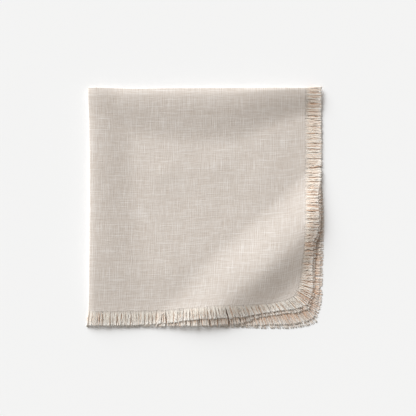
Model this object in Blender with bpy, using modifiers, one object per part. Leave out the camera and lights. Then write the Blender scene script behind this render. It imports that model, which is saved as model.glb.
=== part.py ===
"""Folded cloth napkin of fringed linen, four layers deep.

The napkin lies on z = 0 with its two closed folds to the left and the top, and its open fringed
edges to the right and the bottom. Sizes are in millimetres and become metres when a point is
placed. Depth is the way down from the top fold, and x the way across from the side fold.
"""
import math
import random
from collections import namedtuple

import bmesh
import bpy

# Place of the whole napkin
MM = 0.001
MIDDLE_X = 124.5
MIDDLE_DEPTH = 127.8
RANDOM_SEED = 27

# Each layer: the height of its middle at the open edges and in the field between the folds, and
# how far it follows the rolls, the ridge and the small swellings
THICKNESS = 1.0
EDGE_FALL = 50.0
LayerShape = namedtuple("LayerShape", "edge field roll ridge swell")
LAYERS = {
    "top": LayerShape(4.9, 6.0, 1.0, 1.0, 1.0),
    "second": LayerShape(3.35, 4.1, 0.65, 1.0, 0.5),
    "third": LayerShape(1.9, 2.05, 0.3, 0.15, 0.0),
    "bottom": LayerShape(0.5, 0.5, 0.0, 0.0, 0.0),
}

# Round of the folds
SIDE_RADIUS = 2.7
SIDE_INSET = 4.8
TOP_RADIUS = 2.0
LOW_TOP_RADIUS = 1.2
TOP_INSET = 2.5
FOLD_STEPS = 6

# Stations along a layer, as shares of the way from its fold to its open edge
UPPER_SHARES = (0, 0.025, 0.055, 0.09, 0.13, 0.18, 0.24, 0.31, 0.38, 0.45, 0.515, 0.58, 0.645,
                0.71, 0.775, 0.84, 0.9, 0.95, 1)
LOWER_SHARES = (0, 0.03, 0.09, 0.18, 0.32, 0.48, 0.65, 0.82, 1)
FIELD_SPAN = 233.0

# One value for each of the four layers, at a share of the way along an edge
Layers = namedtuple("Layers", "share top second third bottom")

# Woven edge on the right, across from the side fold, at shares of the way down
RIGHT_EDGE = (
    Layers(0.00, 228.7, 229.2, 229.8, 230.3),
    Layers(0.46, 228.7, 229.4, 230.2, 230.8),
    Layers(0.68, 227.9, 229.0, 229.6, 230.8),
    Layers(0.78, 226.4, 227.8, 228.8, 230.4),
    Layers(0.88, 224.2, 225.8, 228.2, 230.2),
    Layers(0.95, 222.0, 223.8, 227.8, 230.0),
    Layers(1.00, 217.6, 219.8, 226.6, 229.4),
)

# Woven edge at the bottom, down from the top fold, at shares of the way across
BOTTOM_EDGE = (
    Layers(0.00, 236.1, 236.6, 237.0, 237.4),
    Layers(0.28, 235.8, 236.4, 236.8, 237.2),
    Layers(0.45, 233.6, 235.2, 236.4, 237.0),
    Layers(0.62, 230.0, 233.0, 235.8, 236.8),
    Layers(0.75, 229.4, 231.6, 235.0, 236.4),
    Layers(0.88, 227.8, 229.6, 233.8, 235.8),
    Layers(0.95, 224.6, 226.6, 231.8, 235.2),
    Layers(1.00, 219.8, 222.2, 227.6, 233.8),
)

# Reach of the fringe on the right, straight out from the edge, at shares of the way down
RIGHT_FRINGE = (
    Layers(0.00, 18.2, 18.2, 18.0, 18.0),
    Layers(0.42, 18.2, 18.0, 18.0, 18.0),
    Layers(0.52, 14.6, 16.0, 17.6, 17.6),
    Layers(0.62, 15.6, 15.6, 17.6, 17.6),
    Layers(0.72, 15.0, 15.2, 17.4, 17.6),
    Layers(0.78, 11.4, 13.6, 17.2, 17.4),
    Layers(0.90, 13.2, 14.2, 16.4, 16.6),
    Layers(0.96, 15.0, 15.2, 15.2, 15.4),
    Layers(1.00, 13.0, 13.6, 13.0, 12.4),
)

# Reach of the fringe at the bottom, straight out from the edge, at shares of the way across
BOTTOM_FRINGE = (
    Layers(0.00, 15.8, 16.2, 16.2, 16.2),
    Layers(0.40, 14.6, 16.2, 16.2, 16.2),
    Layers(0.55, 15.4, 15.8, 16.2, 16.4),
    Layers(0.68, 14.2, 15.0, 16.0, 16.6),
    Layers(0.80, 11.6, 13.6, 16.2, 17.0),
    Layers(0.92, 11.0, 12.6, 16.4, 17.4),
    Layers(0.97, 11.4, 12.8, 16.2, 16.8),
    Layers(1.00, 10.4, 11.6, 14.8, 14.0),
)

# Line of each closed fold: how far its outside stands in from a straight edge
FoldLine = namedtuple("FoldLine", "share inset")
SIDE_FOLD = (
    FoldLine(0.00, 0.2),
    FoldLine(0.12, 1.1),
    FoldLine(0.27, 1.9),
    FoldLine(0.50, 2.1),
    FoldLine(0.75, 1.6),
    FoldLine(0.93, 0.9),
    FoldLine(1.00, 0.3),
)
TOP_FOLD = (
    FoldLine(0.00, 1.3),
    FoldLine(0.10, 1.8),
    FoldLine(0.23, 2.6),
    FoldLine(0.35, 2.1),
    FoldLine(0.65, 1.7),
    FoldLine(0.90, 1.4),
    FoldLine(1.00, 1.6),
)

# Soft roll beside each closed fold: its height over the flat cloth, and where it has died out
Roll = namedtuple("Roll", "at height width")
ROLL_CREST = 12.0
ROLL_DIP = 2.4
ROLL_ROUNDING = 3.0
SIDE_ROLL = (
    Roll(0, 4.0, 50),
    Roll(60, 4.6, 54),
    Roll(120, 5.0, 56),
    Roll(180, 4.6, 66),
    Roll(240, 4.6, 84),
)
TOP_ROLL = (
    Roll(0, 3.6, 50),
    Roll(50, 4.4, 56),
    Roll(100, 5.0, 62),
    Roll(150, 5.4, 62),
    Roll(185, 5.8, 54),
    Roll(210, 5.8, 46),
    Roll(235, 5.4, 38),
)

# Slanting ridge that lifts the two upper layers, from the right edge to the bottom edge, and past
# which they lie lower
Ridge = namedtuple("Ridge", "along shift height rise fall")
RIDGE_X = 190.0
RIDGE_DEPTH = 192.0
RIDGE_ANGLE = math.radians(46)
FRINGE_HANG = 0.65
RIDGE = (
    Ridge(-90, -4.0, 5.6, 44, 34),
    Ridge(-50, -4.8, 6.4, 48, 38),
    Ridge(0, -1.2, 6.8, 50, 40),
    Ridge(35, 0.5, 7.2, 48, 40),
    Ridge(80, -2.5, 7.4, 44, 36),
)

# Small soft swellings of the top layer
Swelling = namedtuple("Swelling", "x depth radius height")
SWELLINGS = (
    Swelling(80, 92, 13, 0.6),
    Swelling(138, 78, 16, 0.5),
    Swelling(120, 165, 30, 0.4),
)

# Fringe: a narrow strip beside the woven edge, and the locks that grow out of it
STRIP_GAP = 0.45
STRIP_WIDTH = 1.7
STRIP_END = 0.995
TOP_LOCKS = 44
LOWER_LOCKS = 28
FRINGE_SPAN = 18.0
DROOP = 0.38
ROUND_LOCKS = 5
MIDDLE_TAPER = 0.78
TIP_TAPER = 0.52
MIDDLE_STRAY = 0.05
TIP_STRAY = 0.15
LENGTH_STRAY = 0.05
LOCK_THICKNESS = (1.0, 1.0, 0.72, 0.5)
COMB_ROWS = 3

# Lean of the locks towards the open corner, in degrees
Lean = namedtuple("Lean", "share side end")
LEAN = (
    Lean(0.00, -2, -7),
    Lean(0.08, 0, 0),
    Lean(0.55, 0, 4),
    Lean(0.72, 1, 20),
    Lean(0.85, 5, 30),
    Lean(0.94, 14, 40),
    Lean(1.00, 34, 48),
)
LEAN_SHARES = {"top": 1.0, "second": 1.0, "third": 0.8, "bottom": 0.72}

# Colours and surface
CLOTH_COLOUR = (0.604, 0.539, 0.485, 1.0)
FRINGE_COLOUR = (0.62, 0.552, 0.494, 1.0)
ROUGHNESS = 0.9

Station = namedtuple("Station", "share turn")
QUARTER_TURN = math.pi / 2


def mix(low, high, weight):
    return low + (high - low) * weight


def ease(value):
    """Go smoothly from 0 to 1 while the value does."""
    value = min(max(value, 0.0), 1.0)
    return value * value * (3 - 2 * value)


def fading(value):
    """Fall smoothly from 1 at 0 to nothing at 1."""
    return 1 - ease(abs(value))


def lookup(rows, at, column):
    """Read one column of a table on a smooth curve through its rows, placed by their first one."""
    place = 0
    while place < len(rows) - 2 and at > rows[place + 1][0]:
        place += 1
    before = rows[max(place - 1, 0)]
    start = rows[place]
    end = rows[place + 1]
    after = rows[min(place + 2, len(rows) - 1)]
    span = end[0] - start[0]
    t = min(max((at - start[0]) / span, 0.0), 1.0)
    values = [getattr(row, column) for row in (before, start, end, after)]
    slope_in = span * (values[2] - values[0]) / (end[0] - before[0])
    slope_out = span * (values[3] - values[1]) / (after[0] - start[0])
    curve = mix(values[1], values[2], ease(t))
    return curve + slope_in * t * (1 - t) ** 2 - slope_out * t * t * (1 - t)


def between_layers(rows, at, upper, outer):
    """Blend a layer table: upper is 1 in the top pair, outer is 1 on the outside of the roll."""
    top_pair = mix(lookup(rows, at, "second"), lookup(rows, at, "top"), outer)
    low_pair = mix(lookup(rows, at, "third"), lookup(rows, at, "bottom"), outer)
    return mix(low_pair, top_pair, upper)


def past_edge(x, depth, layer):
    """How far a place lies outside the woven field of one layer, or less than 0 inside it."""
    side = x - lookup(RIGHT_EDGE, depth / FIELD_SPAN, layer)
    end = depth - lookup(BOTTOM_EDGE, x / FIELD_SPAN, layer)
    return max(side, end)


def one_roll(rows, at, distance):
    """Height of a roll beside its fold, a distance in from the fold."""
    past = distance - ROLL_CREST
    height = lookup(rows, at, "height")
    if past < 0:
        return height - ROLL_DIP * (past / ROLL_CREST) ** 2
    return height * fading(past / (lookup(rows, at, "width") - ROLL_CREST))


def roll_height(x, depth):
    """Height of the two soft rolls, joined smoothly where they meet."""
    side = one_roll(SIDE_ROLL, depth, x)
    top = one_roll(TOP_ROLL, x, depth)
    return (side ** ROLL_ROUNDING + top ** ROLL_ROUNDING) ** (1 / ROLL_ROUNDING)


def ridge_shape(x, depth):
    """Height of the slanting ridge, and the share of the field's level that is kept there."""
    over = x - RIDGE_X
    down = depth - RIDGE_DEPTH
    along = over * math.sin(RIDGE_ANGLE) - down * math.cos(RIDGE_ANGLE)
    away = over * math.cos(RIDGE_ANGLE) + down * math.sin(RIDGE_ANGLE)
    away -= lookup(RIDGE, along, "shift")
    fade = fading(away / lookup(RIDGE, along, "rise" if away < 0 else "fall"))
    return lookup(RIDGE, along, "height") * fade, 1.0 if away < 0 else fade


def swelling_height(x, depth):
    total = 0.0
    for swell in SWELLINGS:
        away = math.hypot(x - swell.x, depth - swell.depth)
        total += swell.height * math.exp(-(away / swell.radius) ** 2)
    return total


def layer_heights(x, depth):
    """Height of the middle of the cloth in each of the four layers."""
    roll = roll_height(x, depth)
    ridge, kept = ridge_shape(x, depth)
    swell = swelling_height(x, depth)
    past = past_edge(x, depth, "top")
    kept *= ease(-past / EDGE_FALL)
    hang = 1 - FRINGE_HANG * ease(past / FRINGE_SPAN)
    heights = {}
    for name, layer in LAYERS.items():
        lift = hang * (roll * layer.roll + ridge * layer.ridge) + swell * layer.swell
        heights[name] = mix(layer.edge, layer.field, kept) + lift
    return heights


def cloth_point(across, down, past_side=0.0, past_end=0.0):
    """Place of the cloth's middle at a station across and a station down, folded up."""
    upper = (1 + math.sin(across.turn)) / 2
    outer = (1 + math.sin(down.turn)) / 2
    fold_x = lookup(SIDE_FOLD, down.share, "inset") + SIDE_INSET
    fold_depth = lookup(TOP_FOLD, across.share, "inset") + TOP_INSET
    side = between_layers(RIGHT_EDGE, down.share, upper, outer)
    end = between_layers(BOTTOM_EDGE, across.share, upper, outer)
    x = mix(fold_x, side, across.share) + past_side
    depth = mix(fold_depth, end, down.share) + past_end
    level = layer_heights(x, depth)
    middle = mix(level["third"] + level["bottom"], level["top"] + level["second"], upper) / 2
    spread = mix(level["third"] - level["bottom"], level["top"] - level["second"], upper) / 2
    spread *= math.sin(down.turn)
    x -= math.cos(across.turn) * (SIDE_RADIUS + spread)
    depth -= math.cos(down.turn) * mix(LOW_TOP_RADIUS, TOP_RADIUS, upper)
    return x, depth, middle + spread * math.sin(across.turn)


def fold_stations(low_shares, high_shares):
    """Stations from one open edge, round the fold and on to the other open edge."""
    low = [Station(share, -QUARTER_TURN) for share in reversed(low_shares)]
    turns = [math.pi * step / FOLD_STEPS - QUARTER_TURN for step in range(1, FOLD_STEPS)]
    high = [Station(share, QUARTER_TURN) for share in high_shares]
    return low + [Station(0.0, turn) for turn in turns] + high


def placed(x, depth, height):
    return (x - MIDDLE_X) * MM, (MIDDLE_DEPTH - depth) * MM, height * MM


def grid_place(vertex, columns, rows):
    """Column and row of a vertex of the unmoved grid, which spans -1 to 1."""
    column = round((vertex.co.x + 1) / 2 * columns)
    row = round((vertex.co.y + 1) / 2 * rows)
    return column, row


def make_material(name, colour):
    material = bpy.data.materials.new(name)
    material.use_nodes = True
    shader = material.node_tree.nodes["Principled BSDF"]
    shader.inputs["Base Color"].default_value = colour
    shader.inputs["Roughness"].default_value = ROUGHNESS
    return material


def make_object(name, mesh_data, colour, collection):
    """Turn a finished sheet into a named object with a material of its own."""
    bmesh.ops.recalc_face_normals(mesh_data, faces=mesh_data.faces)
    mesh = bpy.data.meshes.new(name)
    mesh_data.to_mesh(mesh)
    mesh_data.free()
    mesh.materials.append(make_material(name + "_linen", colour))
    item = bpy.data.objects.new(name, mesh)
    collection.objects.link(item)
    return item


def thicken(item, group=""):
    solid = item.modifiers.new("thickness", "SOLIDIFY")
    solid.thickness = THICKNESS * MM
    solid.offset = 0.0
    solid.use_rim = True
    solid.use_even_offset = not group
    solid.use_quality_normals = True
    solid.vertex_group = group


def build_cloth(collection):
    """The whole woven square as one folded sheet."""
    across = fold_stations(LOWER_SHARES, UPPER_SHARES)
    down = fold_stations(UPPER_SHARES, UPPER_SHARES)
    columns = len(across) - 1
    rows = len(down) - 1
    sheet = bmesh.new()
    bmesh.ops.create_grid(sheet, x_segments=columns, y_segments=rows, size=1.0)
    for vertex in sheet.verts:
        column, row = grid_place(vertex, columns, rows)
        vertex.co = placed(*cloth_point(across[column], down[row]))
    item = make_object("napkin_cloth", sheet, CLOTH_COLOUR, collection)
    thicken(item)


def lock_shares(count):
    return [STRIP_END * step / count for step in range(count + 1)]


def strip_point(fixed, moving, is_side, past):
    """Place on the strip beside a woven edge, where the fixed station is that edge."""
    if is_side:
        return cloth_point(fixed, moving, past_side=past)
    return cloth_point(moving, fixed, past_end=past)


def lock_height(x, depth, middle, thickness):
    """Height of a lock's middle: the layers of fringe sink together past the lowest edge."""
    strip = STRIP_GAP + STRIP_WIDTH
    sunk = DROOP * ease((past_edge(x, depth, "bottom") - strip) / (FRINGE_SPAN - strip))
    return (middle - THICKNESS / 2) * (1 - sunk) + thickness * THICKNESS / 2


def lock_layer(fixed, moving, is_side):
    """Layer that a lock of this station lies in."""
    upper = (fixed if is_side else moving).turn > 0
    outer = (moving if is_side else fixed).turn > 0
    if upper:
        return "top" if outer else "second"
    return "bottom" if outer else "third"


def lock_outline(root_start, root_end, share, layer, is_side, dice):
    """Run of one lock as pairs of places: halfway along it, and at its tip."""
    rows = RIGHT_FRINGE if is_side else BOTTOM_FRINGE
    length = lookup(rows, share, layer) * (1 + dice.uniform(-LENGTH_STRAY, LENGTH_STRAY))
    length -= STRIP_GAP + STRIP_WIDTH
    lean = lookup(LEAN, share, "side" if is_side else "end") * LEAN_SHARES[layer]
    along = math.tan(math.radians(lean))
    heading = (1.0, along, 0.0) if is_side else (along, 1.0, 0.0)
    middle = [(a + b) / 2 for a, b in zip(root_start, root_end)]
    half = [(b - a) / 2 for a, b in zip(root_start, root_end)]
    pairs = []
    for reach, taper, stray in ((0.5, MIDDLE_TAPER, MIDDLE_STRAY), (1.0, TIP_TAPER, TIP_STRAY)):
        shift = 2 * dice.uniform(-stray, stray)
        centre = [m + length * reach * h + shift * w for m, h, w in zip(middle, heading, half)]
        pairs.append(([c - taper * w for c, w in zip(centre, half)],
                      [c + taper * w for c, w in zip(centre, half)]))
    return pairs


def comb_sheet(columns, bare):
    """Flat grid slit between its columns past the first row, with no locks on the bare ones."""
    comb = bmesh.new()
    bmesh.ops.create_grid(comb, x_segments=columns, y_segments=COMB_ROWS, size=1.0)
    slits = []
    for edge in comb.edges:
        (first, low), (second, high) = (grid_place(v, columns, COMB_ROWS) for v in edge.verts)
        if first == second and min(low, high) > 0:
            slits.append(edge)
    bmesh.ops.split_edges(comb, edges=slits)
    surplus = []
    for face in comb.faces:
        column, row = face_place(face, columns)
        if column in bare and row > 0:
            surplus.append(face)
    bmesh.ops.delete(comb, geom=surplus, context="FACES")
    return comb


def face_place(face, columns):
    places = [grid_place(vertex, columns, COMB_ROWS) for vertex in face.verts]
    return min(place[0] for place in places), min(place[1] for place in places)


def vertex_places(comb, columns):
    """Column of the lock, side of it and row for each vertex of the comb."""
    places = {}
    for face in comb.faces:
        column = face_place(face, columns)[0]
        for vertex in face.verts:
            station, row = grid_place(vertex, columns, COMB_ROWS)
            places[vertex] = (column, station - column, row)
    return places


def build_fringe(name, fixed, is_side, locks, seed, collection):
    """Fringe of one edge of the square: a strip bent at the fold, with the locks along it.

    Its locks are counted in the lower run, round the fold and in the upper run.
    """
    dice = random.Random(seed)
    low_locks, round_locks, high_locks = locks
    stations = fold_stations(lock_shares(low_locks), lock_shares(high_locks))
    columns = len(stations) - 1
    fold = range(low_locks, low_locks + FOLD_STEPS)
    comb = comb_sheet(columns, fold[:FOLD_STEPS - round_locks])
    weights = comb.verts.layers.deform.verify()
    inner = [strip_point(fixed, s, is_side, STRIP_GAP) for s in stations]
    outer = [strip_point(fixed, s, is_side, STRIP_GAP + STRIP_WIDTH) for s in stations]
    layers = [lock_layer(fixed, s, is_side) for s in stations]
    outlines = []
    for column in range(columns):
        share = (stations[column].share + stations[column + 1].share) / 2
        outlines.append(lock_outline(outer[column], outer[column + 1], share, layers[column],
                                     is_side, dice))
    for vertex, (column, side, row) in vertex_places(comb, columns).items():
        if row < 2:
            vertex.co = placed(*(outer if row else inner)[column + side])
        else:
            x, depth, middle = outlines[column][row - 2][side]
            if column not in fold:
                middle = layer_heights(x, depth)[layers[column]]
            vertex.co = placed(x, depth, lock_height(x, depth, middle, LOCK_THICKNESS[row]))
        vertex[weights][0] = LOCK_THICKNESS[row]
    item = make_object(name, comb, FRINGE_COLOUR, collection)
    item.vertex_groups.new(name="weight")
    thicken(item, "weight")


def build():
    for item in list(bpy.data.objects):
        bpy.data.objects.remove(item, do_unlink=True)
    collection = bpy.data.collections.new("folded_napkin")
    bpy.context.scene.collection.children.link(collection)
    build_cloth(collection)
    upper = Station(1.0, QUARTER_TURN)
    lower = Station(1.0, -QUARTER_TURN)
    mixed = (LOWER_LOCKS, 0, TOP_LOCKS)
    rounded = (LOWER_LOCKS, ROUND_LOCKS, TOP_LOCKS)
    sparse = (LOWER_LOCKS, 0, LOWER_LOCKS)
    build_fringe("fringe_side_upper", upper, True, mixed, RANDOM_SEED, collection)
    build_fringe("fringe_side_lower", lower, True, sparse, RANDOM_SEED + 1, collection)
    build_fringe("fringe_end_outer", upper, False, rounded, RANDOM_SEED + 2, collection)
    build_fringe("fringe_end_inner", lower, False, sparse, RANDOM_SEED + 3, collection)


build()
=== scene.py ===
import math
import random
from collections import namedtuple

import bmesh
import bpy
import numpy as np
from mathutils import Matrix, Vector, noise


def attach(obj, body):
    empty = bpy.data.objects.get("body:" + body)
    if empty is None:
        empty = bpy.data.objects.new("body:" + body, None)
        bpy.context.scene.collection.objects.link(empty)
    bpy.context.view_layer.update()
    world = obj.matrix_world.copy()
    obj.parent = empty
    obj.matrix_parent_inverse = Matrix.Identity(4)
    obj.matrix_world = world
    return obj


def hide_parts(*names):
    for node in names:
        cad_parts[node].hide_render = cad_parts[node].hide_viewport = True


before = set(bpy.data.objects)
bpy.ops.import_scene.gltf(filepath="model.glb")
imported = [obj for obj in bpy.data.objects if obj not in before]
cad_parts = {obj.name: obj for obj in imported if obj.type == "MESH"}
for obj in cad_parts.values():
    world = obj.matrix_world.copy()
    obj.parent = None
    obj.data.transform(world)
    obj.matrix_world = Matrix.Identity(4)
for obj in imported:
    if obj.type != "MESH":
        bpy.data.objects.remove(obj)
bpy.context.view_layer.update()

# Place of the whole napkin. Sizes are in millimetres and become metres when a point is placed.
# Depth is the way down from the top fold, and x the way across from the side fold.
MM = 0.001
MIDDLE_X = 124.5
MIDDLE_DEPTH = 127.8
RANDOM_SEED = 41
QUARTER_TURN = math.pi / 2

# The cloth laid out flat, in metres, and its thickness
FLAT_WIDTH = 0.462
FLAT_LENGTH = 0.476
THICKNESS = 0.4

# Each layer: the height of its middle at the open edges and in the field between the folds, and
# how far it follows the rolls, the ridge and the small swellings
LayerShape = namedtuple("LayerShape", "edge field roll ridge swell")
LAYERS = {
    "top": LayerShape(1.76, 3.4, 1.0, 1.0, 1.0),
    "second": LayerShape(1.3, 2.4, 0.8, 1.0, 0.7),
    "third": LayerShape(0.78, 1.4, 0.3, 0.15, 0.3),
    "bottom": LayerShape(0.26, 0.26, 0.0, 0.0, 0.0),
}

# The field falls away over the last EDGE_FALL before an open edge. Beside the folds only a share
# of it is left, FOLD_LEVEL, and it comes up over FOLD_RISE.
EDGE_FALL = 50.0
FOLD_LEVEL = 0.15
FOLD_RISE = 110.0

# Round of the side fold, which turns wider for the outer layer, and of the top fold in the upper
# pair of layers and in the lower pair. An inset is how far in the middle of the turn stands.
SIDE_RADIUS = 0.8
SIDE_SPREAD = 0.45
SIDE_INSET = 1.4
TOP_RADIUS = 0.5
LOW_TOP_RADIUS = 0.45
TOP_INSET = 0.2

# Cells of the sheet: round each fold, and along a run of the upper layers and of the lower ones.
# They lie closer together near the folds.
FOLD_STEPS = 12
UPPER_CELLS = 92
LOWER_CELLS = 34
EVENNESS = 1.25

# Span of the woven field in one layer, the cloth that goes round half a fold, and how unevenly
# the woven edge is frayed
FIELD_SPAN = 233.0
FOLD_CLOTH = 4.5
FRAY = 0.5

# One value for each of the four layers, at a share of the way along an edge
Layers = namedtuple("Layers", "share top second third bottom")

# Woven edge on the right, across from the side fold, at shares of the way down
RIGHT_EDGE = (
    Layers(0.00, 228.7, 229.2, 229.8, 230.3),
    Layers(0.46, 228.7, 229.4, 230.2, 230.8),
    Layers(0.68, 227.9, 229.0, 229.6, 230.8),
    Layers(0.78, 226.4, 227.8, 228.8, 230.4),
    Layers(0.88, 224.2, 225.8, 228.2, 230.2),
    Layers(0.95, 222.0, 223.8, 227.8, 230.0),
    Layers(1.00, 217.6, 219.8, 226.6, 229.4),
)

# Woven edge at the bottom, down from the top fold, at shares of the way across
BOTTOM_EDGE = (
    Layers(0.00, 236.1, 236.6, 237.0, 237.4),
    Layers(0.28, 235.8, 236.4, 236.8, 237.2),
    Layers(0.45, 233.6, 235.2, 236.4, 237.0),
    Layers(0.62, 230.0, 233.0, 235.8, 236.8),
    Layers(0.75, 229.4, 231.6, 235.0, 236.4),
    Layers(0.88, 227.8, 229.6, 233.8, 235.8),
    Layers(0.95, 224.6, 226.6, 231.8, 235.2),
    Layers(1.00, 219.8, 222.2, 227.6, 233.8),
)

# Reach of the fringe on the right, straight out from the edge, at shares of the way down
RIGHT_FRINGE = (
    Layers(0.00, 17.3, 16.3, 15.2, 15.0),
    Layers(0.42, 17.3, 16.3, 15.6, 15.6),
    Layers(0.52, 14.4, 15.6, 17.2, 17.2),
    Layers(0.62, 15.6, 15.8, 17.6, 17.8),
    Layers(0.70, 13.9, 14.9, 17.4, 17.6),
    Layers(0.735, 10.8, 12.0, 17.3, 17.5),
    Layers(0.78, 11.3, 12.2, 17.2, 17.4),
    Layers(0.90, 13.2, 13.8, 16.6, 16.8),
    Layers(0.96, 15.4, 15.6, 15.4, 15.6),
    Layers(1.00, 13.0, 13.6, 13.2, 12.2),
)

# Reach of the fringe at the bottom, straight out from the edge, at shares of the way across
BOTTOM_FRINGE = (
    Layers(0.00, 15.4, 13.8, 12.2, 12.0),
    Layers(0.10, 15.9, 14.9, 12.4, 12.2),
    Layers(0.22, 15.5, 16.2, 13.2, 13.0),
    Layers(0.40, 14.4, 16.9, 14.4, 14.2),
    Layers(0.50, 13.3, 17.8, 15.4, 15.4),
    Layers(0.60, 13.9, 18.4, 16.4, 16.8),
    Layers(0.68, 13.8, 18.4, 16.7, 17.4),
    Layers(0.73, 13.0, 16.0, 16.9, 17.8),
    Layers(0.77, 11.6, 13.2, 17.0, 18.2),
    Layers(0.84, 9.8, 11.2, 17.1, 18.6),
    Layers(0.90, 9.2, 10.6, 17.2, 18.8),
    Layers(0.96, 10.6, 11.8, 16.6, 17.0),
    Layers(1.00, 10.4, 11.6, 14.9, 13.4),
)

# Line of each closed fold: how far its outside stands in from a straight edge
FoldLine = namedtuple("FoldLine", "share inset")
SIDE_FOLD = (
    FoldLine(0.00, 0.2),
    FoldLine(0.12, 1.1),
    FoldLine(0.27, 1.9),
    FoldLine(0.50, 2.1),
    FoldLine(0.75, 1.6),
    FoldLine(0.93, 0.9),
    FoldLine(1.00, 0.3),
)
TOP_FOLD = (
    FoldLine(0.00, 1.3),
    FoldLine(0.10, 1.8),
    FoldLine(0.23, 2.6),
    FoldLine(0.35, 2.1),
    FoldLine(0.65, 1.7),
    FoldLine(0.90, 1.4),
    FoldLine(1.00, 1.6),
)

# Soft roll beside each closed fold: its height over the flat cloth, how far in its crest lies, and
# where it has died out
Roll = namedtuple("Roll", "at height crest width")
SIDE_ROLL = (
    Roll(0, 4.0, 9, 47),
    Roll(60, 4.6, 9, 51),
    Roll(120, 5.0, 9, 53),
    Roll(180, 5.2, 8, 64),
    Roll(240, 2.6, 8, 78),
)
TOP_ROLL = (
    Roll(0, 3.6, 10, 50),
    Roll(50, 4.5, 10, 54),
    Roll(100, 5.9, 10, 62),
    Roll(150, 6.3, 9, 62),
    Roll(185, 5.8, 5, 48),
    Roll(210, 5.2, 3, 38),
    Roll(235, 4.6, 2, 31),
)

# How far a roll falls from its crest to the fold, and the power that joins the two rolls
ROLL_DIP = 2.1
ROLL_ROUNDING = 3.0

# Slanting ridge that lifts the two upper layers, from the right edge to the bottom edge, and past
# which they lie lower
Ridge = namedtuple("Ridge", "along shift height rise fall")
RIDGE_X = 190.0
RIDGE_DEPTH = 192.0
RIDGE_ANGLE = math.radians(46)
RIDGE = (
    Ridge(-90, -6.0, 5.8, 44, 38),
    Ridge(-50, -6.6, 6.6, 48, 40),
    Ridge(0, -2.8, 6.9, 50, 39),
    Ridge(35, -1.8, 7.2, 48, 39),
    Ridge(80, -4.5, 7.4, 44, 35),
)

# Small soft swellings of the top layer
Swelling = namedtuple("Swelling", "x depth radius height")
SWELLINGS = (
    Swelling(80, 92, 13, 0.6),
    Swelling(138, 78, 16, 0.5),
    Swelling(120, 165, 30, 0.4),
)

# Slack of the cloth between its folds: slow noise, and finer noise that is lower
SLACK_SIZE = 26.0
SLACK_HEIGHT = 0.16
SLACK_SLICE = 0.7
FINE_SLACK = 2.7
FINE_SLACK_HEIGHT = SLACK_HEIGHT / 3

# How the fringe lies past the edge: over FRINGE_SPAN it loses a share of the rolls and the ridge,
# and from DROOP_START past the lowest edge it sinks towards the floor
FRINGE_SPAN = 18.0
FRINGE_HANG = 0.27
DROOP = 0.16
DROOP_START = 5.0

# Height of a lock of yarns at its root and at its tip, the share of it at which the roots lie, and
# the power that gathers its yarns near its top
LOCK_THICKNESS = 0.65
LOCK_TIP_THICKNESS = 0.5
ROOT_LOFT = 0.25
LOCK_FULLNESS = 0.45

# One yarn: its radius and how that varies, its width and height as shares of the radius, how far
# inside the edge it starts, and the tube that it is made of
YARN_RADIUS = 0.2
RADIUS_SPREAD = (0.8, 1.25)
YARN_WIDTH = 1.35
YARN_HEIGHT = 0.36
YARN_ROOTS = (0.6, 2.2)
YARN_SIDES = 4
YARN_STEPS = 11

# Its end is frayed wider, then cut, and may curl up
FRAYED_FROM = 0.85
FRAYED_END = 1.25
CUT_END = 0.5
CURL_FROM = 0.75

# A few yarns are stray fibres, thinner and of their own length
STRAY_FIBRES = 0.07
FIBRE_RADIUS = 0.35
FIBRE_LENGTHS = (-1.5, 1.2)

# Waves along a yarn: how many fit in its reach, and how far they swing
Wave = namedtuple("Wave", "pitches size")
WAVES = (Wave((0.6, 1.4), 0.3), Wave((1.8, 3.6), 0.14))

# Locks: their widths, how far off their middle the tips meet, how strongly the yarns are pulled
# there, how the lean of a lock and of a yarn strays in degrees, and a lock's extra length
LOCK_WIDTHS = (2.6, 5.6)
LOCK_OFFSET = 0.5
LOCK_PULL = (0.26, 0.58)
PULL_SPREAD = (0.7, 1.2)
LOCK_STRAY = 1.8
YARN_STRAY = 1.8
LOCK_LENGTHS = 0.15

# How soon the pull, the waves and the loft are in full: at a yarn's tip if 1, halfway if 2
LOCK_START = 2.2
WAVE_START = 2
LOFT_START = 3

# The yarns of each layer: their spacing, stray length, curl, and how brown they are near the edge,
# as painted shade under the layers above
Yarns = namedtuple("Yarns", "spacing length_stray curl brown")
YARNS = {
    "top": Yarns(0.4, 0.2, 0.3, 0.0),
    "second": Yarns(0.5, 0.25, 0.2, 0.45),
    "third": Yarns(0.5, 0.22, 0.15, 0.55),
    "bottom": Yarns(0.55, 0.22, 0.0, 0.55),
}

# How much the spacing varies, how far the painted shade near the edge reaches, and how much
# painted shade makes the side fringes browner
SPACING_SPREAD = (0.6, 1.4)
BROWN_REACH = 1.2
SIDE_SHADE = 0.2

# Lean of the yarns towards the open corner, in degrees, and each layer's share of it
Lean = namedtuple("Lean", "share side end")
LEAN = (
    Lean(0.00, -2, -7),
    Lean(0.08, 0, 0),
    Lean(0.55, 0, 4),
    Lean(0.72, 1, 20),
    Lean(0.85, 5, 30),
    Lean(0.94, 13, 38),
    Lean(1.00, 46, 50),
)
LEAN_SHARES = {"top": 1.0, "second": 1.0, "third": 0.9, "bottom": 0.86}

# The four fringed edges of the square: the side of the fold that each lies on, the two layers
# that it runs through, and the yarns round the fold between them
FringedEdge = namedtuple("FringedEdge", "name turn is_side layers fold_layer fold_yarns")
FRINGED_EDGES = (
    FringedEdge("side_upper", QUARTER_TURN, True, ("top", "second"), "top", 12),
    FringedEdge("side_lower", -QUARTER_TURN, True, ("bottom", "third"), "third", 6),
    FringedEdge("end_outer", QUARTER_TURN, False, ("top", "bottom"), "top", 26),
    FringedEdge("end_inner", -QUARTER_TURN, False, ("second", "third"), "second", 8),
)

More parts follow.
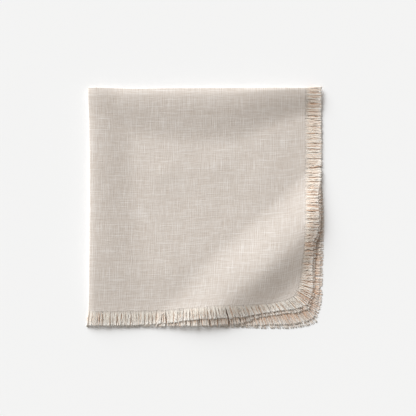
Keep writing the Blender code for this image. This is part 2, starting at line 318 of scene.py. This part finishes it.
# Colours of the linen, from its shaded hollows to its lightest slubs
LINEN_DEEP = (0.462, 0.372, 0.297, 1)
LINEN_PALE = (0.742, 0.692, 0.646, 1)
LINEN_ROUGHNESS = 0.85
LINEN_SHEEN = 0.12

# Threads and slubs as streaks of noise: their size across the cloth and down it, in
# millimetres, the detail of the noise, and the offset that sets one apart from the others
Streaks = namedtuple("Streaks", "across down detail offset")
DOWN_THREADS = Streaks(0.46, 12, 1.0, 3.1)
CROSS_THREADS = Streaks(8, 0.52, 1.0, 11.7)
DOWN_SLUBS = Streaks(0.8, 22, 0.0, 23.9)
CROSS_SLUBS = Streaks(22, 0.8, 0.0, 37.3)
PATCHES = Streaks(30, 30, 2.0, 51.0)
OFFSET_SLANT = 0.7
SLUB_RANGE = (0.55, 0.85)

# Share of each in the tone of the cloth, and where the tone starts
WEAVE_SHARE = 0.6
WEAVE_BASE = -0.1
SLUB_SHARE = 0.36
PATCH_SHARE = 0.12

# Even pitch of the threads both ways, and how much of it shows
THREAD_PITCH = 2.3
DOWN_LATTICE = 0.09
CROSS_LATTICE = 0.05
LATTICE_RANGE = (0.3, 0.6)

# Relief of the threads
DOWN_RELIEF = 1.5
CROSS_RELIEF = 0.8
RELIEF_STRENGTH = 0.5
RELIEF_DEPTH = 0.0004

# Colours of the loose yarns: as woven at the root, brown where they lie low, pale at their ends
# The brown is painted shade and the pale ends a painted highlight, each mixed with a yarn's own
# tone
YARN_WOVEN = (0.63, 0.57, 0.51, 1)
YARN_SHADE_BROWN = (0.74, 0.47, 0.305, 1)
YARN_MIDDLE = (0.83, 0.768, 0.68, 1)
YARN_PALE_AND_HIGHLIGHT = (0.88, 0.85, 0.80, 1)

# What makes a yarn brown and what makes it pale, how far painted shade dulls the pale, and how
# long it stays as woven
# Brown is painted shade where a yarn lies low, with its own tone; pale is a painted highlight at
# its ends, with its own tone
LOW_SHADE_SHARE = 0.6
SHADE_SHARE = 0.25
ALONG_SHARE = 0.12
BROWN_RANGE = (0.3, 0.75)
HIGHLIGHT_ENDS = (0.6, 1.0)
PALE_YARNS = (0.65, 1.0)
SHADE_DULLING = 0.7
WOVEN_RANGE = (0.08, 0.3)

# Camera straight above, and the framing of the photo
CAMERA_HEIGHT = 1.6
FRAME_WIDTH = 0.4385
SENSOR = 36.0
CAMERA_X = 0.0020
CAMERA_Y = 0.0003

# Soft studio light from the upper left, over an even pale fill
KEY_ELEVATION = math.radians(25)
KEY_BEARING = math.radians(124)
KEY_STRENGTH = 5.25
KEY_SOFTNESS = math.radians(44)
KEY_COLOUR = (0.948, 0.975, 1.0)
FILL_COLOUR = (1.0, 0.94, 0.87, 1)
FILL_STRENGTH = 0.33

# Pale floor, its size in metres
FLOOR_COLOUR = (0.9, 0.9, 0.9, 1)
FLOOR_ROUGHNESS = 0.95
FLOOR_SIZE = 4.0

# A place on the folded cloth: the share of the way from the fold to the open edge, and the turn
# round the fold, a quarter turn up or down on the runs beside it
Station = namedtuple("Station", "share turn")

# A yarn: its line, its radius and the depth of painted shade on it at each step, and its own tone
Yarn = namedtuple("Yarn", "points radii lows shade")

# A lock: where it ends along the edge, where its tips meet, and how its yarns lie. The yarns
# round a fold are in none.
Lock = namedtuple("Lock", "end middle pull lean longer")
FOLD_LOCK = Lock(0.0, 0.0, 0.0, 0.0, 0.0)


def mix(low, high, weight):
    return low + (high - low) * weight


def ease(value):
    """Go smoothly from 0 to 1 while the value does."""
    value = min(max(value, 0.0), 1.0)
    return value * value * (3 - 2 * value)


def fading(value):
    """Fall smoothly from 1 at 0 to nothing at 1 and at -1."""
    return 1 - ease(abs(value))


def lookup(rows, at, column):
    """Read one column of a table on a smooth curve through its rows, placed by their first one."""
    place = 0
    while place < len(rows) - 2 and at > rows[place + 1][0]:
        place += 1
    before = rows[max(place - 1, 0)]
    start = rows[place]
    end = rows[place + 1]
    after = rows[min(place + 2, len(rows) - 1)]
    span = end[0] - start[0]
    t = min(max((at - start[0]) / span, 0.0), 1.0)
    values = [getattr(row, column) for row in (before, start, end, after)]
    slope_in = span * (values[2] - values[0]) / (end[0] - before[0])
    slope_out = span * (values[3] - values[1]) / (after[0] - start[0])
    curve = mix(values[1], values[2], ease(t))
    return curve + slope_in * t * (1 - t) ** 2 - slope_out * t * t * (1 - t)


def between_layers(rows, at, upper, outer):
    """Blend a layer table: upper is 1 in the top pair, outer is 1 on the outside of the roll."""
    top_pair = mix(lookup(rows, at, "second"), lookup(rows, at, "top"), outer)
    low_pair = mix(lookup(rows, at, "third"), lookup(rows, at, "bottom"), outer)
    return mix(low_pair, top_pair, upper)


def past_edge(x, depth, layer):
    """How far a place lies outside the woven field of one layer, or less than 0 inside it."""
    side = x - lookup(RIGHT_EDGE, depth / FIELD_SPAN, layer)
    end = depth - lookup(BOTTOM_EDGE, x / FIELD_SPAN, layer)
    return max(side, end)


def one_roll(rows, at, distance):
    """Height of a roll beside its fold, a distance in from the fold."""
    crest = lookup(rows, at, "crest")
    past = distance - crest
    height = lookup(rows, at, "height")
    if past < 0:
        return height - ROLL_DIP * (past / crest) ** 2
    return height * fading(past / (lookup(rows, at, "width") - crest))


def roll_height(x, depth):
    """Height of the two soft rolls, joined smoothly where they meet."""
    side = one_roll(SIDE_ROLL, depth, x)
    top = one_roll(TOP_ROLL, x, depth)
    return (side ** ROLL_ROUNDING + top ** ROLL_ROUNDING) ** (1 / ROLL_ROUNDING)


def ridge_shape(x, depth):
    """Height of the slanting ridge, and the share of the field's level that is kept there."""
    over = x - RIDGE_X
    down = depth - RIDGE_DEPTH
    along = over * math.sin(RIDGE_ANGLE) - down * math.cos(RIDGE_ANGLE)
    away = over * math.cos(RIDGE_ANGLE) + down * math.sin(RIDGE_ANGLE)
    away -= lookup(RIDGE, along, "shift")
    fade = fading(away / lookup(RIDGE, along, "rise" if away < 0 else "fall"))
    return lookup(RIDGE, along, "height") * fade, 1.0 if away < 0 else fade


def swelling_height(x, depth):
    """Height of the small swellings."""
    total = 0.0
    for swell in SWELLINGS:
        away = math.hypot(x - swell.x, depth - swell.depth)
        total += swell.height * math.exp(-(away / swell.radius) ** 2)
    return total


def slack_height(x, depth):
    """Slow unevenness of the cloth between its folds."""
    place = Vector((x / SLACK_SIZE, depth / SLACK_SIZE, SLACK_SLICE))
    fine = FINE_SLACK_HEIGHT * noise.noise(place * FINE_SLACK)
    return SLACK_HEIGHT * noise.noise(place) + fine


def layer_heights(x, depth):
    """Height of the middle of the cloth in each of the four layers."""
    roll = roll_height(x, depth)
    ridge, kept = ridge_shape(x, depth)
    swell = slack_height(x, depth) + swelling_height(x, depth)
    past = past_edge(x, depth, "top")
    kept *= ease(-past / EDGE_FALL)
    kept *= mix(FOLD_LEVEL, 1.0, ease(x / FOLD_RISE) * ease(depth / FOLD_RISE))
    hang = 1 - FRINGE_HANG * ease(past / FRINGE_SPAN)
    heights = {}
    for name, layer in LAYERS.items():
        lift = hang * (roll * layer.roll + ridge * layer.ridge) + swell * layer.swell
        heights[name] = mix(layer.edge, layer.field, kept) + lift
    return heights


def cloth_point(across, down, past_side=0.0, past_end=0.0):
    """Place of the cloth's middle at a station across and a station down, folded up."""
    upper = (1 + math.sin(across.turn)) / 2
    outer = (1 + math.sin(down.turn)) / 2
    fold_x = lookup(SIDE_FOLD, down.share, "inset") + SIDE_INSET
    fold_depth = lookup(TOP_FOLD, across.share, "inset") + TOP_INSET
    side = between_layers(RIGHT_EDGE, down.share, upper, outer)
    end = between_layers(BOTTOM_EDGE, across.share, upper, outer)
    x = mix(fold_x, side, across.share) + past_side
    depth = mix(fold_depth, end, down.share) + past_end
    level = layer_heights(x, depth)
    middle = mix(level["third"] + level["bottom"], level["top"] + level["second"], upper) / 2
    spread = mix(level["third"] - level["bottom"], level["top"] - level["second"], upper) / 2
    spread *= math.sin(down.turn)
    x -= math.cos(across.turn) * (SIDE_RADIUS + SIDE_SPREAD * spread)
    depth -= math.cos(down.turn) * mix(LOW_TOP_RADIUS, TOP_RADIUS, upper)
    return x, depth, middle + spread * math.sin(across.turn)


def fold_stations(low_shares, high_shares):
    """Stations from one open edge, round the fold and on to the other open edge."""
    low = [Station(share, -QUARTER_TURN) for share in reversed(low_shares)]
    turns = [math.pi * step / FOLD_STEPS - QUARTER_TURN for step in range(1, FOLD_STEPS)]
    high = [Station(share, QUARTER_TURN) for share in high_shares]
    return low + [Station(0.0, turn) for turn in turns] + high


def placed(x, depth, height):
    """A point in the shared frame, in metres."""
    return (x - MIDDLE_X) * MM, (MIDDLE_DEPTH - depth) * MM, height * MM


def run_shares(cells):
    """Shares of a run, closer together near the fold."""
    return [(step / cells) ** EVENNESS for step in range(cells + 1)]


def flat_share(station, span):
    """Where a station lies across the flat cloth, from 0 to 1."""
    side = math.copysign(1.0, station.turn)
    turned = FOLD_CLOTH * station.turn / QUARTER_TURN
    return 0.5 + (turned + side * station.share * (span / 2 - FOLD_CLOTH)) / span


def add_object(name, data):
    """Put new data into the scene."""
    made = bpy.data.objects.new(name, data)
    bpy.context.scene.collection.objects.link(made)
    return made


def build_cloth():
    """The woven square as one fine folded sheet, with its flat place kept as UVs."""
    dice = random.Random(RANDOM_SEED)
    across = fold_stations(run_shares(LOWER_CELLS), run_shares(UPPER_CELLS))
    down = fold_stations(run_shares(UPPER_CELLS), run_shares(UPPER_CELLS))
    columns = len(across) - 1
    rows = len(down) - 1
    sheet = bmesh.new()
    bmesh.ops.create_grid(sheet, x_segments=columns, y_segments=rows, size=1.0)
    flat = sheet.loops.layers.uv.new("flat_cloth")
    stations = {}
    for vertex in sheet.verts:
        stations[vertex] = (round((vertex.co.x + 1) / 2 * columns),
                            round((vertex.co.y + 1) / 2 * rows))
    for face in sheet.faces:
        face.smooth = True
        for loop in face.loops:
            column, row = stations[loop.vert]
            loop[flat].uv = (flat_share(across[column], FLAT_WIDTH / MM),
                             flat_share(down[row], FLAT_LENGTH / MM))
    for vertex, (column, row) in stations.items():
        past_side = dice.uniform(-FRAY, FRAY) if across[column].share == 1 else 0.0
        past_end = dice.uniform(-FRAY, FRAY) if down[row].share == 1 else 0.0
        vertex.co = placed(*cloth_point(across[column], down[row], past_side, past_end))
    bmesh.ops.recalc_face_normals(sheet, faces=sheet.faces)
    for edge in sheet.edges:
        edge.smooth = not edge.is_boundary
    mesh = bpy.data.meshes.new("linen_sheet")
    sheet.to_mesh(mesh)
    sheet.free()
    piece = add_object("linen_sheet", mesh)
    solid = piece.modifiers.new("thickness", "SOLIDIFY")
    solid.thickness = THICKNESS * MM
    solid.offset = 0.0
    solid.use_rim = True
    solid.use_quality_normals = True
    return piece


def lock_floor(x, depth, middle):
    """Height that a layer's yarns lie on: the fringe sinks together past the lowest edge."""
    past = past_edge(x, depth, "bottom") - DROOP_START
    sunk = DROOP * ease(past / (FRINGE_SPAN - DROOP_START))
    return max(middle - THICKNESS / 2, 0.0) * (1 - sunk)


def end_width(s):
    """Share of its radius that a yarn has, at a share of its length."""
    if s == 1:
        return CUT_END
    return FRAYED_END if s > FRAYED_FROM else 1.0


def make_yarn(fixed, moving, layer, is_side, lock, dice):
    """One loose yarn, from just inside the woven edge to its cut end."""
    kind = YARNS[layer]
    fringe = RIGHT_FRINGE if is_side else BOTTOM_FRINGE
    share = moving.share
    length = lookup(fringe, share, layer) + dice.gauss(0, kind.length_stray) + lock.longer
    is_fibre = dice.random() < STRAY_FIBRES
    if is_fibre:
        length += dice.uniform(*FIBRE_LENGTHS)
    lean = lookup(LEAN, share, "side" if is_side else "end") * LEAN_SHARES[layer]
    stray = lock.lean + dice.gauss(0, YARN_STRAY)
    along = math.tan(math.radians(lean)) + math.radians(stray)
    pull = (lock.middle - share * FIELD_SPAN) * lock.pull * dice.uniform(*PULL_SPREAD)
    waves = [(dice.uniform(*wave.pitches), dice.random(), dice.gauss(0, wave.size))
             for wave in WAVES]
    stack = dice.random() ** LOCK_FULLNESS
    pull *= stack ** 2
    rise = kind.curl * dice.random()
    radius = YARN_RADIUS * dice.uniform(*RADIUS_SPREAD) * (FIBRE_RADIUS if is_fibre else 1.0)
    root = dice.uniform(*YARN_ROOTS)
    points = []
    radii = []
    lows = []
    for step in range(YARN_STEPS + 1):
        s = step / YARN_STEPS
        reach = mix(-root, length, s)
        run = max(reach, 0.0) / length
        drift = pull * ease(run * LOCK_START)
        for pitch, phase, size in waves:
            swing = math.sin(2 * math.pi * (pitch * run + phase))
            drift += size * ease(run * WAVE_START) * swing
        sideways = max(reach, 0.0) * along + drift
        if is_side:
            x, depth, middle = cloth_point(fixed, moving, past_side=reach)
            depth += sideways
        else:
            x, depth, middle = cloth_point(moving, fixed, past_end=reach)
            x += sideways
        if abs(moving.turn) == QUARTER_TURN:
            middle = layer_heights(x, depth)[layer]
        ground = lock_floor(x, depth, middle)
        loft = mix(LOCK_THICKNESS, LOCK_TIP_THICKNESS, run) - 2 * radius
        height = ground + radius + loft * mix(ROOT_LOFT, stack, ease(run * LOFT_START))
        height += rise * ease((run - CURL_FROM) / (1 - CURL_FROM))
        points.append(placed(x, depth, height))
        radii.append(radius * MM * end_width(s))
        # Painted shade: browner where the yarn lies low in its lock, near the root in the layers
        # below the top, and on the side fringes
        brown = kind.brown * (BROWN_REACH - s)
        lows.append(1 - stack + brown + (SIDE_SHADE if is_side else 0.0))
    return Yarn(points, radii, lows, dice.random())


def make_locks(dice):
    """Split an edge into uneven locks: where each ends, its middle, and how its yarns lie."""
    locks = []
    place = 0.0
    while place < FIELD_SPAN:
        width = dice.uniform(*LOCK_WIDTHS)
        middle = place + width / 2 + dice.uniform(-LOCK_OFFSET, LOCK_OFFSET)
        locks.append(Lock(place + width, middle, dice.uniform(*LOCK_PULL),
                          dice.gauss(0, LOCK_STRAY), dice.gauss(0, LOCK_LENGTHS)))
        place += width
    return locks


def layer_yarns(fixed, turn, layer, is_side, dice):
    """All the yarns on one side of one layer."""
    locks = make_locks(dice)
    yarns = []
    place = 0.0
    current = 0
    while place < FIELD_SPAN:
        while locks[current].end < place and current < len(locks) - 1:
            current += 1
        moving = Station(place / FIELD_SPAN, turn)
        yarns.append(make_yarn(fixed, moving, layer, is_side, locks[current], dice))
        place += YARNS[layer].spacing * dice.uniform(*SPACING_SPREAD)
    return yarns


def fold_yarns(fixed, edge, dice):
    """The yarns round the fold, between the two layers that one edge runs through."""
    yarns = []
    for step in range(edge.fold_yarns):
        moving = Station(0.0, math.pi * (step + 1) / (edge.fold_yarns + 1) - QUARTER_TURN)
        yarns.append(make_yarn(fixed, moving, edge.fold_layer, edge.is_side, FOLD_LOCK, dice))
    return yarns


def yarn_mesh(name, yarns):
    """Join the yarns into one mesh of thin tubes, with what its colour needs as attributes."""
    corners = np.arange(YARN_SIDES) * 2 * math.pi / YARN_SIDES
    rings = YARN_STEPS + 1
    points = np.array([yarn.points for yarn in yarns])
    radii = np.array([yarn.radii for yarn in yarns])
    heading = np.gradient(points, axis=1)
    heading /= np.linalg.norm(heading, axis=2, keepdims=True)
    up = np.array([0.0, 0.0, 1.0])
    side = np.cross(heading, up)
    side /= np.linalg.norm(side, axis=2, keepdims=True)
    over = np.cross(side, heading)
    ring = (YARN_WIDTH * np.cos(corners)[None, None, :, None] * side[:, :, None, :]
            + YARN_HEIGHT * np.sin(corners)[None, None, :, None] * over[:, :, None, :])
    verts = points[:, :, None, :] + radii[:, :, None, None] * ring
    count = len(yarns)
    index = np.arange(count * rings * YARN_SIDES).reshape(count, rings, YARN_SIDES)
    near, far = index[:, :-1, :], index[:, 1:, :]
    walls = np.stack([near, np.roll(near, -1, 2), np.roll(far, -1, 2), far], axis=-1)
    caps = np.concatenate([index[:, 0, ::-1], index[:, -1, :]])
    faces = walls.reshape(-1, 4).tolist() + caps.tolist()
    mesh = bpy.data.meshes.new(name)
    mesh.from_pydata(verts.reshape(-1, 3).tolist(), [], faces)
    along = np.tile(np.linspace(0, 1, rings)[None, :, None], (count, 1, YARN_SIDES))
    shades = np.array([yarn.shade for yarn in yarns])
    shade = np.tile(shades[:, None, None], (1, rings, YARN_SIDES))
    # low is the depth of painted shade on each yarn
    lows = np.array([yarn.lows for yarn in yarns])
    low = np.tile(lows[:, :, None], (1, 1, YARN_SIDES))
    for label, values in (("along", along), ("shade", shade), ("low", low)):
        attribute = mesh.attributes.new(label, "FLOAT", "POINT")
        attribute.data.foreach_set("value", values.reshape(-1).astype(np.float32))
    mesh.shade_smooth()
    mesh.update()
    return add_object(name, mesh)


def build_fringe(name, edge, seed):
    """The loose yarns of one edge of the square, on the two layers that it runs through."""
    dice = random.Random(seed)
    fixed = Station(1.0, edge.turn)
    yarns = []
    for layer, turn in zip(edge.layers, (QUARTER_TURN, -QUARTER_TURN)):
        yarns += layer_yarns(fixed, turn, layer, edge.is_side, dice)
    yarns += fold_yarns(fixed, edge, dice)
    return yarn_mesh(name, yarns)


def new_material(name):
    material = bpy.data.materials.new(name)
    material.use_nodes = True
    tree = material.node_tree
    return material, tree, tree.nodes["Principled BSDF"]


def node(tree, kind, **settings):
    made = tree.nodes.new(kind)
    for label, value in settings.items():
        setattr(made, label, value)
    return made


def feed(tree, socket, value):
    """Link an input to another node's output, or give it a value of its own."""
    if isinstance(value, bpy.types.NodeSocket):
        tree.links.new(value, socket)
    else:
        socket.default_value = value


def maths(tree, operation, *values):
    """A math node on values that are each an output or a number."""
    made = node(tree, "ShaderNodeMath", operation=operation)
    for socket, value in zip(made.inputs, values):
        feed(tree, socket, value)
    return made.outputs[0]


def weighted_sum(tree, *terms):
    """The sum of some values, each times its own share."""
    parts = [maths(tree, "MULTIPLY", value, share) for value, share in terms]
    total = parts[0]
    for part in parts[1:]:
        total = maths(tree, "ADD", total, part)
    return total


def clamped(tree, value):
    """Keep a value between 0 and 1."""
    made = node(tree, "ShaderNodeClamp")
    feed(tree, made.inputs[0], value)
    return made.outputs[0]


def ramp(tree, value, low, high):
    """Spread a stretch of a value over 0 to 1."""
    made = node(tree, "ShaderNodeMapRange")
    feed(tree, made.inputs["Value"], value)
    feed(tree, made.inputs["From Min"], low)
    feed(tree, made.inputs["From Max"], high)
    return made.outputs["Result"]


def colour_mix(tree, weight, low, high):
    """Mix two colours by a value."""
    made = node(tree, "ShaderNodeMix", data_type="RGBA")
    feed(tree, made.inputs["Factor"], weight)
    feed(tree, made.inputs[6], low)
    feed(tree, made.inputs[7], high)
    return made.outputs[2]


def stretched(tree, place, size, offset):
    """A place times a size, and moved by an offset."""
    mapping = node(tree, "ShaderNodeMapping")
    feed(tree, mapping.inputs["Vector"], place)
    feed(tree, mapping.inputs["Scale"], size)
    feed(tree, mapping.inputs["Location"], offset)
    return mapping.outputs[0]


def streaks(tree, flat, kind):
    """Noise drawn out along the threads, for a cloth place in millimetres."""
    size = (1 / kind.across, 1 / kind.down, 1)
    offset = (kind.offset, kind.offset * OFFSET_SLANT, kind.offset)
    texture = node(tree, "ShaderNodeTexNoise")
    feed(tree, texture.inputs["Vector"], stretched(tree, flat, size, offset))
    feed(tree, texture.inputs["Scale"], 1.0)
    feed(tree, texture.inputs["Detail"], kind.detail)
    return texture.outputs["Fac"]


def thread_lattice(tree, flat, patches):
    """The even pitch of the threads both ways, clearer in some patches than in others."""
    split = node(tree, "ShaderNodeSeparateXYZ")
    feed(tree, split.inputs[0], flat)
    waves = []
    for place, share in zip(split.outputs, (DOWN_LATTICE, CROSS_LATTICE)):
        turned = maths(tree, "MULTIPLY", place, 2 * math.pi / THREAD_PITCH)
        waves.append((maths(tree, "SINE", turned), share))
    return maths(tree, "MULTIPLY", weighted_sum(tree, *waves),
                 ramp(tree, patches, *LATTICE_RANGE))


def finish_linen(tree, shader, colour):
    """Give the shader its colour, and the dull surface that all the linen has."""
    feed(tree, shader.inputs["Base Color"], colour)
    feed(tree, shader.inputs["Roughness"], LINEN_ROUGHNESS)
    feed(tree, shader.inputs["Sheen Weight"], LINEN_SHEEN)


def linen_material():
    """Plain-woven linen: uneven threads both ways, with longer pale slubs."""
    material, tree, shader = new_material("linen_weave")
    place = node(tree, "ShaderNodeUVMap", uv_map="flat_cloth").outputs[0]
    flat = stretched(tree, place, (FLAT_WIDTH / MM, FLAT_LENGTH / MM, 1), (0, 0, 0))
    down_threads = streaks(tree, flat, DOWN_THREADS)
    cross_threads = streaks(tree, flat, CROSS_THREADS)
    down_slubs = ramp(tree, streaks(tree, flat, DOWN_SLUBS), *SLUB_RANGE)
    cross_slubs = ramp(tree, streaks(tree, flat, CROSS_SLUBS), *SLUB_RANGE)
    patches = streaks(tree, flat, PATCHES)
    threads = maths(tree, "ADD", down_threads, cross_threads)
    slubs = maths(tree, "ADD", down_slubs, cross_slubs)
    tone = maths(tree, "MULTIPLY_ADD", threads, WEAVE_SHARE, WEAVE_BASE)
    tone = maths(tree, "ADD", tone, maths(tree, "MULTIPLY", slubs, SLUB_SHARE))
    tone = maths(tree, "ADD", tone, maths(tree, "MULTIPLY", patches, PATCH_SHARE))
    tone = maths(tree, "ADD", tone, thread_lattice(tree, flat, patches))
    colour = colour_mix(tree, clamped(tree, tone), LINEN_DEEP, LINEN_PALE)
    finish_linen(tree, shader, colour)
    bump = node(tree, "ShaderNodeBump")
    relief = weighted_sum(tree, (down_threads, DOWN_RELIEF), (cross_threads, CROSS_RELIEF))
    feed(tree, bump.inputs["Height"], relief)
    feed(tree, bump.inputs["Strength"], RELIEF_STRENGTH)
    feed(tree, bump.inputs["Distance"], RELIEF_DEPTH)
    feed(tree, shader.inputs["Normal"], bump.outputs[0])
    return material


def yarn_material():
    """Loose linen yarn: browner where it lies low, as painted shade, and pale at its cut ends, as
    a painted highlight.
    """
    material, tree, shader = new_material("linen_yarn")
    along, shade, low = [node(tree, "ShaderNodeAttribute", attribute_name=label).outputs["Fac"]
                         for label in ("along", "shade", "low")]
    # Brown: painted shade where the yarn lies low, with its own tone and a little more along it
    deep = weighted_sum(tree, (low, LOW_SHADE_SHARE), (shade, SHADE_SHARE), (along, ALONG_SHARE))
    middle = colour_mix(tree, ramp(tree, deep, *BROWN_RANGE), YARN_MIDDLE, YARN_SHADE_BROWN)
    # Pale: a painted highlight at the cut ends and each yarn's own tone, dulled by painted shade
    # where it lies low
    pale = maths(tree, "ADD", ramp(tree, along, *HIGHLIGHT_ENDS), ramp(tree, shade, *PALE_YARNS))
    upper = maths(tree, "SUBTRACT", 1.0, maths(tree, "MULTIPLY", low, SHADE_DULLING))
    pale = clamped(tree, maths(tree, "MULTIPLY", pale, upper))
    loose = colour_mix(tree, pale, middle, YARN_PALE_AND_HIGHLIGHT)
    woven = ramp(tree, along, *WOVEN_RANGE)
    finish_linen(tree, shader, colour_mix(tree, woven, YARN_WOVEN, loose))
    return material


def build_camera():
    camera = bpy.data.cameras.new("overhead")
    camera.sensor_width = SENSOR
    camera.lens = SENSOR * CAMERA_HEIGHT / FRAME_WIDTH
    holder = add_object("overhead", camera)
    holder.location = (CAMERA_X, CAMERA_Y, CAMERA_HEIGHT)
    bpy.context.scene.camera = holder


def build_light():
    sun = bpy.data.lights.new("soft_key", "SUN")
    sun.energy = KEY_STRENGTH
    sun.angle = KEY_SOFTNESS
    sun.color = KEY_COLOUR
    level = math.cos(KEY_ELEVATION)
    towards = Vector((-math.cos(KEY_BEARING) * level, -math.sin(KEY_BEARING) * level,
                      -math.sin(KEY_ELEVATION)))
    add_object("soft_key", sun).rotation_euler = towards.to_track_quat("-Z", "Y").to_euler()
    world = bpy.data.worlds.new("studio")
    bpy.context.scene.world = world
    world.use_nodes = True
    fill = world.node_tree.nodes["Background"]
    fill.inputs["Color"].default_value = FILL_COLOUR
    fill.inputs["Strength"].default_value = FILL_STRENGTH
    bpy.context.scene.view_settings.view_transform = "Standard"


def build_floor():
    plane = bmesh.new()
    bmesh.ops.create_grid(plane, x_segments=1, y_segments=1, size=FLOOR_SIZE / 2)
    mesh = bpy.data.meshes.new("studio_floor")
    plane.to_mesh(mesh)
    plane.free()
    floor = add_object("studio_floor", mesh)
    material, tree, shader = new_material("pale_floor")
    feed(tree, shader.inputs["Base Color"], FLOOR_COLOUR)
    feed(tree, shader.inputs["Roughness"], FLOOR_ROUGHNESS)
    mesh.materials.append(material)
    return floor


def build():
    build_camera()
    build_light()
    floor = build_floor()
    linen = linen_material()
    yarn = yarn_material()
    sheet = build_cloth()
    sheet.data.materials.append(linen)
    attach(sheet, "root")
    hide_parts("napkin_cloth")
    for count, edge in enumerate(FRINGED_EDGES):
        piece = build_fringe("yarns_" + edge.name, edge, RANDOM_SEED + 1 + count)
        piece.data.materials.append(yarn)
        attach(piece, "root")
        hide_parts("fringe_" + edge.name)


build()
